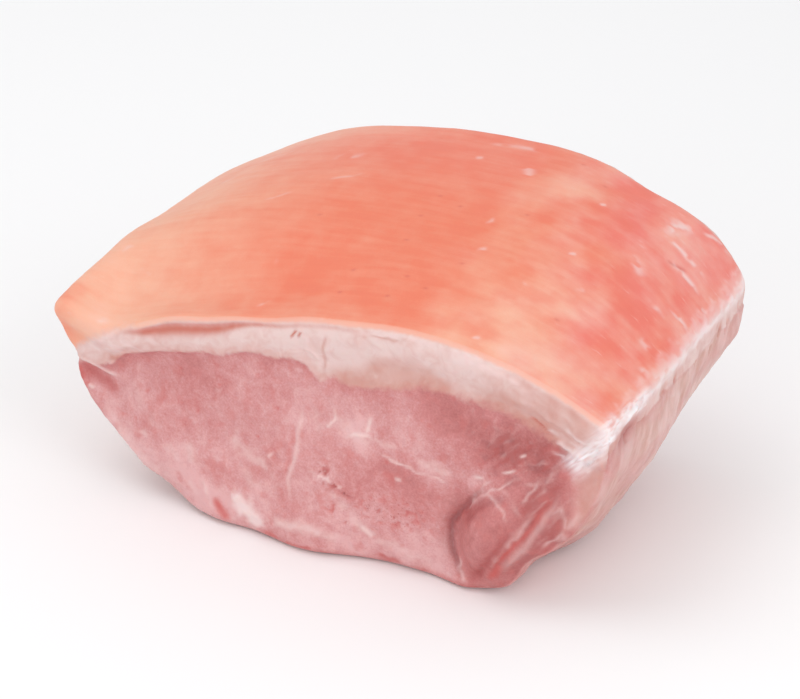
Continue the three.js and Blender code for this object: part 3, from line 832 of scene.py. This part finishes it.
# %% Fat, borders and membrane
cream = 0.9 - 0.2 * soft(-60, -85, x) + 0.15 * lumps((9, 9, 14), 55, 2) - 0.25 * soft(70, 105, x)
cream -= 0.5 * soft(-6, 0, below_fat) * front + back * (0.25 + 0.4 * lumps((16, 16, 7), 57, 2))
fuzz = 1.7 + 1.8 * soft(20, 80, x) * front
fray = 1 + 2.5 * on_tip + 1.2 * soft(118, 122, x)
sheet = front * soft(103, 118, x + 5 * wobble_v) * soft(20, 45, z) * 0.8
torn_sheet = 0.6 + 0.4 * soft(-0.5, 0.3, lumps((18, 15, 13), 58, 3))
membrane = torn_sheet * np.clip((right + left + under) * (0.35 + 0.65 * soft(8, 40, z)), 0, 1)
membrane = np.maximum(membrane * (1 - 0.5 * soft(-48, -66, y) * soft(50, 90, x)), sheet)
print("share of the skin under membrane:", round(float((membrane > 0.5).mean()), 3))

# %% [markdown]
# ## Numbers that the shader reads
# Everything the colours need is now stored on the skin under a name. Depths are kept as depths, because a
# shader can cut a crisp edge from a smooth depth.

# %% Store the numbers
values = {
    "below_rind": (below_rind - RIND_THICKNESS) / fray,
    "below_fat": below_fat / fuzz,
    "cut_edge": cut * (1 - on_tip),
    "membrane": membrane,
    "warm": warm,
    "pinkness": np.clip(pinkness, 0, 1),
    "scraped": scraped,
    "tone_light_and_shade": tone_light_and_shade,
    "cream": cream,
    "pored": pored,
    "crumbly": crumbly,
    **{"mark_" + name: np.clip(amount, 0, 1) for name, amount in paint.items()},
}
for name, amount in values.items():
    joint.data.attributes.new(name, "FLOAT", "POINT").data.foreach_set("value", amount.astype(np.float32))
print("named numbers on the skin:", ", ".join(values))

# %% [markdown]
# ## Writing shaders as sums
# A shader is a net of boxes and wires. Written as plain sums it is far easier to read, so `Wire` wraps one
# output and each sum on it adds the Math box that does it. `Finish` makes every other kind of box with one
# method.

# %% Wires and finishes
class Wire:
    """One number or colour flowing through a shader."""

    def __init__(self, finish, socket):
        self.finish = finish
        self.socket = socket

    def math(self, operation, *others):
        return self.finish.box("ShaderNodeMath", {"operation": operation}, {
            i: value for i, value in enumerate((self, *others))
        })

    def __add__(self, other):
        return self.math("ADD", other)

    def __sub__(self, other):
        return self.math("SUBTRACT", other)

    def __rsub__(self, other):
        return self.finish.box("ShaderNodeMath", {"operation": "SUBTRACT"}, {0: other, 1: self})

    def __mul__(self, other):
        return self.math("MULTIPLY", other)

    __radd__ = __add__
    __rmul__ = __mul__

    def clipped(self):
        """The same number kept between 0 and 1."""
        return self.finish.box("ShaderNodeClamp", {}, {"Value": self})

    def step(self, start, stop):
        """Smoothly 0 below start and 1 above stop; the other way round if start is above stop."""
        up = start < stop
        return self.finish.box("ShaderNodeMapRange", {"interpolation_type": "SMOOTHSTEP"}, {
            "Value": self,
            "From Min": start if up else stop,
            "From Max": stop if up else start,
            "To Min": 0 if up else 1,
            "To Max": 1 if up else 0,
        })


class Finish:
    """A material being written."""

    def __init__(self, name):
        self.material = bpy.data.materials.new(name)
        self.material.use_nodes = True
        self.tree = self.material.node_tree
        self.shader = self.tree.nodes["Principled BSDF"]

    def box(self, kind, settings=None, inputs=None, output=0):
        """Adds one node: its settings first, then the value or wire of each socket."""
        node = self.tree.nodes.new(kind)
        for name, value in (settings or {}).items():
            setattr(node, name, value)
        for name, value in (inputs or {}).items():
            self.plug(value, node.inputs[name])
        return Wire(self, node.outputs[output])

    def plug(self, value, socket):
        if isinstance(value, Wire):
            self.tree.links.new(value.socket, socket)
        else:
            socket.default_value = value

    def number(self, name):
        return self.box("ShaderNodeAttribute", {"attribute_name": name}, output="Fac")

    def noise(self, size_mm, detail=2.0, stretch=(1, 1, 1), distortion=0.0):
        """Random numbers round one half, with bumps size_mm across, longer where stretch is over 1."""
        where = self.box("ShaderNodeTexCoord", output="Object")
        where = self.box("ShaderNodeVectorMath", {"operation": "MULTIPLY"}, {
            0: where, 1: tuple(1000 / size_mm / s for s in stretch),
        })
        return self.box("ShaderNodeTexNoise", {}, {
            "Vector": where, "Scale": 1.0, "Detail": detail, "Distortion": distortion,
        })

    def mix(self, share, a, b):
        """Blends two colours by a share."""
        return self.box("ShaderNodeMix", {"data_type": "RGBA"}, {"Factor": share, 6: a, 7: b}, output=2)


print("ready to write finishes")

# %% [markdown]
# ## Rind
# Scalded and scraped pig skin is salmon-orange, redder where blood has pooled and paler where it was
# rubbed. It has faint streaks along the joint and fine pale scratches. The colour is a blend from pale peach
# to coral, and from orange to pink towards the right end.

# %% Rind colour
def srgb(red, green, blue):
    """A colour as painters read it off a chart, 0 to 255, turned into amounts of light."""
    shares = (red / 255, green / 255, blue / 255)
    light = [((share + 0.055) / 1.055) ** 2.4 if share > 0.04 else share / 12.92 for share in shares]
    return (*light, 1.0)


flesh = Finish("pork_rind_fat_and_lean")
streaks = flesh.noise(3, 4, stretch=(9, 1, 5)) - 0.5
mottle = flesh.noise(9, 3) - 0.5
fine = flesh.noise(0.8, 2) - 0.5
pinkness = flesh.number("pinkness")
warm = flesh.number("warm") + streaks * 0.5 + mottle * 0.5 + fine * 0.15
pale_skin = flesh.mix(pinkness, srgb(236, 176, 150), srgb(235, 176, 164))
warm_skin = flesh.mix(pinkness, srgb(230, 126, 98), srgb(230, 124, 114))
rind_colour = flesh.mix(warm.clipped(), pale_skin, warm_skin)
rind_colour = flesh.mix((0 - warm).clipped(), rind_colour, srgb(240, 198, 184))
rind_colour = flesh.mix((warm - 1).clipped(), rind_colour, srgb(224, 104, 84))
scratches = flesh.noise(1.4, 3, stretch=(5, 1, 5)).step(0.62, 0.82) * flesh.number("scraped")
rind_colour = flesh.mix(scratches * 0.35, rind_colour, srgb(242, 204, 196))
print("rind colour uses", len(flesh.tree.nodes), "boxes so far")

# %% [markdown]
# ## Fat and lean
# The fat is a creamy pinkish white with tan stains low down. The lean is rose pink with a fine grain,
# swirled paler and darker as the muscle bundles turn, with redder patches and small dark specks. The outer
# membrane of the sides is a paler tan pink.

# %% Fat, lean and membrane colours
cream = flesh.number("cream") + (flesh.noise(6, 4, distortion=1.0) - 0.5) * 1.3
fat_colour = flesh.mix(cream.clipped(), srgb(208, 156, 148), srgb(227, 200, 196))
fat_colour = flesh.mix(flesh.number("mark_tan"), fat_colour, srgb(196, 124, 106))

swirl = flesh.noise(10, 4, distortion=1.5) - 0.5
grain = flesh.noise(2.2, 3, distortion=0.5) - 0.5
# The lean's tone here carries painted shade and painted light as well as its own colour.
tone_light_and_shade = flesh.number("tone_light_and_shade") + swirl * 0.65 + grain * 0.25 + fine * 0.45
lean_colour = flesh.mix((tone_light_and_shade * 2).clipped(), srgb(174, 98, 96), srgb(200, 129, 128))
lean_colour = flesh.mix((tone_light_and_shade * 2 - 1).clipped(), lean_colour, srgb(222, 172, 172))
redder = flesh.noise(6.0, 5).step(0.52, 0.72) * 0.4
lean_colour = flesh.mix(redder, lean_colour, srgb(200, 112, 108))
specks = flesh.noise(1.0, 2).step(0.62, 0.7)
speck_share = specks * (0.12 + flesh.number("pored") * 0.6 + flesh.number("crumbly") * 0.5)
lean_colour = flesh.mix(speck_share, lean_colour, srgb(170, 80, 76))

strand_noise = flesh.noise(4, 4, stretch=(3, 1, 3.5), distortion=0.6)
membrane_colour = flesh.mix(strand_noise.step(0.3, 0.7), srgb(206, 160, 150), srgb(222, 184, 178))
membrane_colour = flesh.mix(flesh.number("mark_tan") * 0.7, membrane_colour, srgb(194, 140, 124))
print("flesh colours use", len(flesh.tree.nodes), "boxes so far")

# %% [markdown]
# ## Putting the tissues together
# Each tissue takes over from the last where the depth passes a limit. A little noise added to the depth
# makes the border wander, as it does where a knife has passed. The cut edge of the rind itself is paler
# than its face. The drawn marks then tint whatever they cross.

# %% Layers and marks
wander = (flesh.noise(3, 3) - 0.5) * 2.0
rind_edge = (flesh.number("below_rind") + wander * 0.6).step(-0.9, 0.6)
fat_edge = (flesh.number("below_fat") + wander).step(-0.8, 0.8)
cut_rind = flesh.number("cut_edge").step(0.25, 0.8) * flesh.number("below_rind").step(-3.2, -0.8)
rind_colour = flesh.mix(cut_rind * 0.7, rind_colour, srgb(234, 186, 170))
inside = flesh.mix(fat_edge, fat_colour, lean_colour)
inside = flesh.mix(flesh.number("membrane") * fat_edge, inside, membrane_colour)
skin_colour = flesh.mix(rind_edge, rind_colour, inside)
skin_colour = flesh.mix(flesh.number("mark_red") * 0.7, skin_colour, srgb(200, 84, 78))
# The dark tint is mostly painted shade, in the cleft, creases, folds, the hollow, under the flap and along
# the foot; the rest is dark torn and crumbly meat.
skin_colour = flesh.mix(flesh.number("mark_dark") * 0.75, skin_colour, srgb(140, 70, 72))
# The pale tint is threads and gristle, and in a few short streaks painted highlights.
skin_colour = flesh.mix(flesh.number("mark_pale") * 0.8, skin_colour, srgb(234, 206, 203))
skin_colour = flesh.mix(flesh.number("mark_white"), skin_colour, srgb(248, 243, 246))
flesh.plug(skin_colour, flesh.shader.inputs["Base Color"])
print("skin colour done")

# %% [markdown]
# ## Gleam and grain
# Raw meat is moist. The rind has a satin gleam, the lean a wetter, broken one. Fine grain too small for the
# mesh is left to a bump: fibres on the lean, faint pores on the rind. Light also sinks a few millimetres
# into fat and flesh, which softens every shadow, so the shader scatters a share of it.

# %% Gleam, grain and softness
moist = flesh.noise(4, 3)
rind_rough = 0.45 + moist * 0.16
inside_rough = 0.36 + moist * 0.3
flesh.plug(rind_rough * (1 - rind_edge) + inside_rough * rind_edge, flesh.shader.inputs["Roughness"])
fibres = flesh.noise(1.4, 4, stretch=(1, 1, 1.8))
pore_grain = flesh.noise(0.9, 2)
grain_height = fibres * 0.7 * fat_edge + fibres * 0.25 * (1 - fat_edge) * rind_edge
grain_height = grain_height + (pore_grain * 0.2 + streaks * 0.4) * (1 - rind_edge)
bump = flesh.box("ShaderNodeBump", {}, {"Height": grain_height, "Strength": 0.45, "Distance": 0.0005})
flesh.plug(bump, flesh.shader.inputs["Normal"])
flesh.shader.inputs["Subsurface Weight"].default_value = 0.2
flesh.shader.inputs["Subsurface Radius"].default_value = (1.0, 0.35, 0.25)
flesh.shader.inputs["Subsurface Scale"].default_value = 0.001
flesh.shader.inputs["Specular IOR Level"].default_value = 0.35
joint.data.materials.append(flesh.material)
print("the finish has", len(flesh.tree.nodes), "boxes")

# %% [markdown]
# ## The floor
# A plain pale floor far wider than the joint, as for a catalogue picture, keeps the colours clean and the
# shadow faint. It is only a stage, so it isn't part of the joint.

# %% Floor
FLOOR_HALF_WIDTH = 4.0
floor_z = low[2] / 1000
signs = ((-1, -1), (1, -1), (1, 1), (-1, 1))
corners = [(a * FLOOR_HALF_WIDTH, b * FLOOR_HALF_WIDTH, floor_z) for a, b in signs]
floor_mesh = bpy.data.meshes.new("floor")
floor_mesh.from_pydata(corners, [], [(0, 1, 2, 3)])
floor = bpy.data.objects.new("floor", floor_mesh)
bpy.context.scene.collection.objects.link(floor)
floor_finish = Finish("pale_floor")
floor_finish.shader.inputs["Base Color"].default_value = srgb(247, 247, 248)
floor_finish.shader.inputs["Roughness"].default_value = 0.7
floor_finish.shader.inputs["Specular IOR Level"].default_value = 0.1
floor_mesh.materials.append(floor_finish.material)
print("floor laid at z =", round(floor_z, 4))

# %% [markdown]
# ## Light
# An even white sky fills every shadow. Three broad soft boxes shape the joint a little: one high up on the
# left, one in front and one on the right. All three aim at the place that the camera looks at.

# %% Light
SKY_STRENGTH = 0.80
world = bpy.data.worlds.new("studio")
world.use_nodes = True
world.node_tree.nodes["Background"].inputs["Color"].default_value = srgb(255, 255, 255)
world.node_tree.nodes["Background"].inputs["Strength"].default_value = SKY_STRENGTH
bpy.context.scene.world = world
bpy.context.scene.view_settings.view_transform = "Standard"


def soft_box(name, place, size, watts):
    """A square light aimed at the joint."""
    light = bpy.data.lights.new(name, "AREA")
    light.size = size
    light.energy = watts
    lamp = bpy.data.objects.new(name, light)
    lamp.location = place
    lamp.rotation_euler = (Vector(place) - aim).to_track_quat("Z", "Y").to_euler()
    bpy.context.scene.collection.objects.link(lamp)


soft_box("key", (-0.5, -0.3, 1.5), 1.1, 5)
soft_box("front_fill", (-0.1, -1.6, 0.7), 0.9, 3.5)
soft_box("right_fill", (1.3, -0.5, 0.9), 1.0, 5)
print("lit by a sky and", len(bpy.data.lights), "soft boxes")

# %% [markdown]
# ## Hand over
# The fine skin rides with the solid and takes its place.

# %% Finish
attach(joint, "root")
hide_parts("pork_joint")
